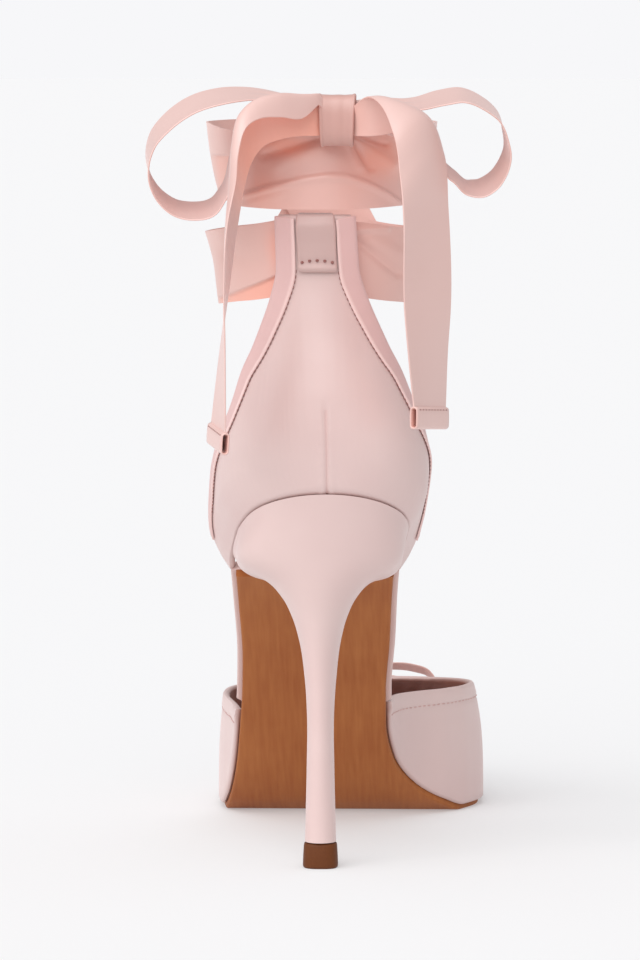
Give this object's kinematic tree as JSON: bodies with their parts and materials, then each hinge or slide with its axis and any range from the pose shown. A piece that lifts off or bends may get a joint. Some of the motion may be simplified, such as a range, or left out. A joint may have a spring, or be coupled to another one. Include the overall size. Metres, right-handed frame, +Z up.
{
  "type": "satin stiletto pump with ankle ribbon",
  "caption": "Open-waist stiletto pump with a pointed vamp, a tall heel counter with a tab, and an ankle ribbon tied in a bow at the back.",
  "frame": {"origin": "on the floor, in the middle of the tread under the ball of the foot", "axes": "+Y to the toe, +X to the inner side of the foot, +Z up from the floor"},
  "size_m": [0.1084, 0.2633, 0.2321],
  "materials": {
    "satin": "duchess satin, soft sheen",
    "lining": "satin lining",
    "grosgrain": "ribbed ribbon binding",
    "ribbon": "double-faced satin ribbon",
    "sole_leather": "smooth tan sole leather",
    "heel_tip": "moulded brown"
  },
  "bodies": {
    "root": {"outsole": "sole_leather", "insole": "lining", "vamp": "satin", "counter": "satin", "binding_outer": "grosgrain", "binding_inner": "grosgrain", "ribbon_keeper": "satin", "heel": "satin", "top_piece": "heel_tip", "ankle_ribbon_outer": "ribbon", "ankle_ribbon_inner": "ribbon", "bow_knot": "ribbon", "bow_loop_outer": "ribbon", "bow_loop_inner": "ribbon", "bow_tail_outer": "ribbon", "bow_tail_inner": "ribbon", "vamp_bow_knot": "ribbon", "vamp_bow_loop_outer": "ribbon", "vamp_bow_loop_inner": "ribbon"}
  },
  "joints": []
}
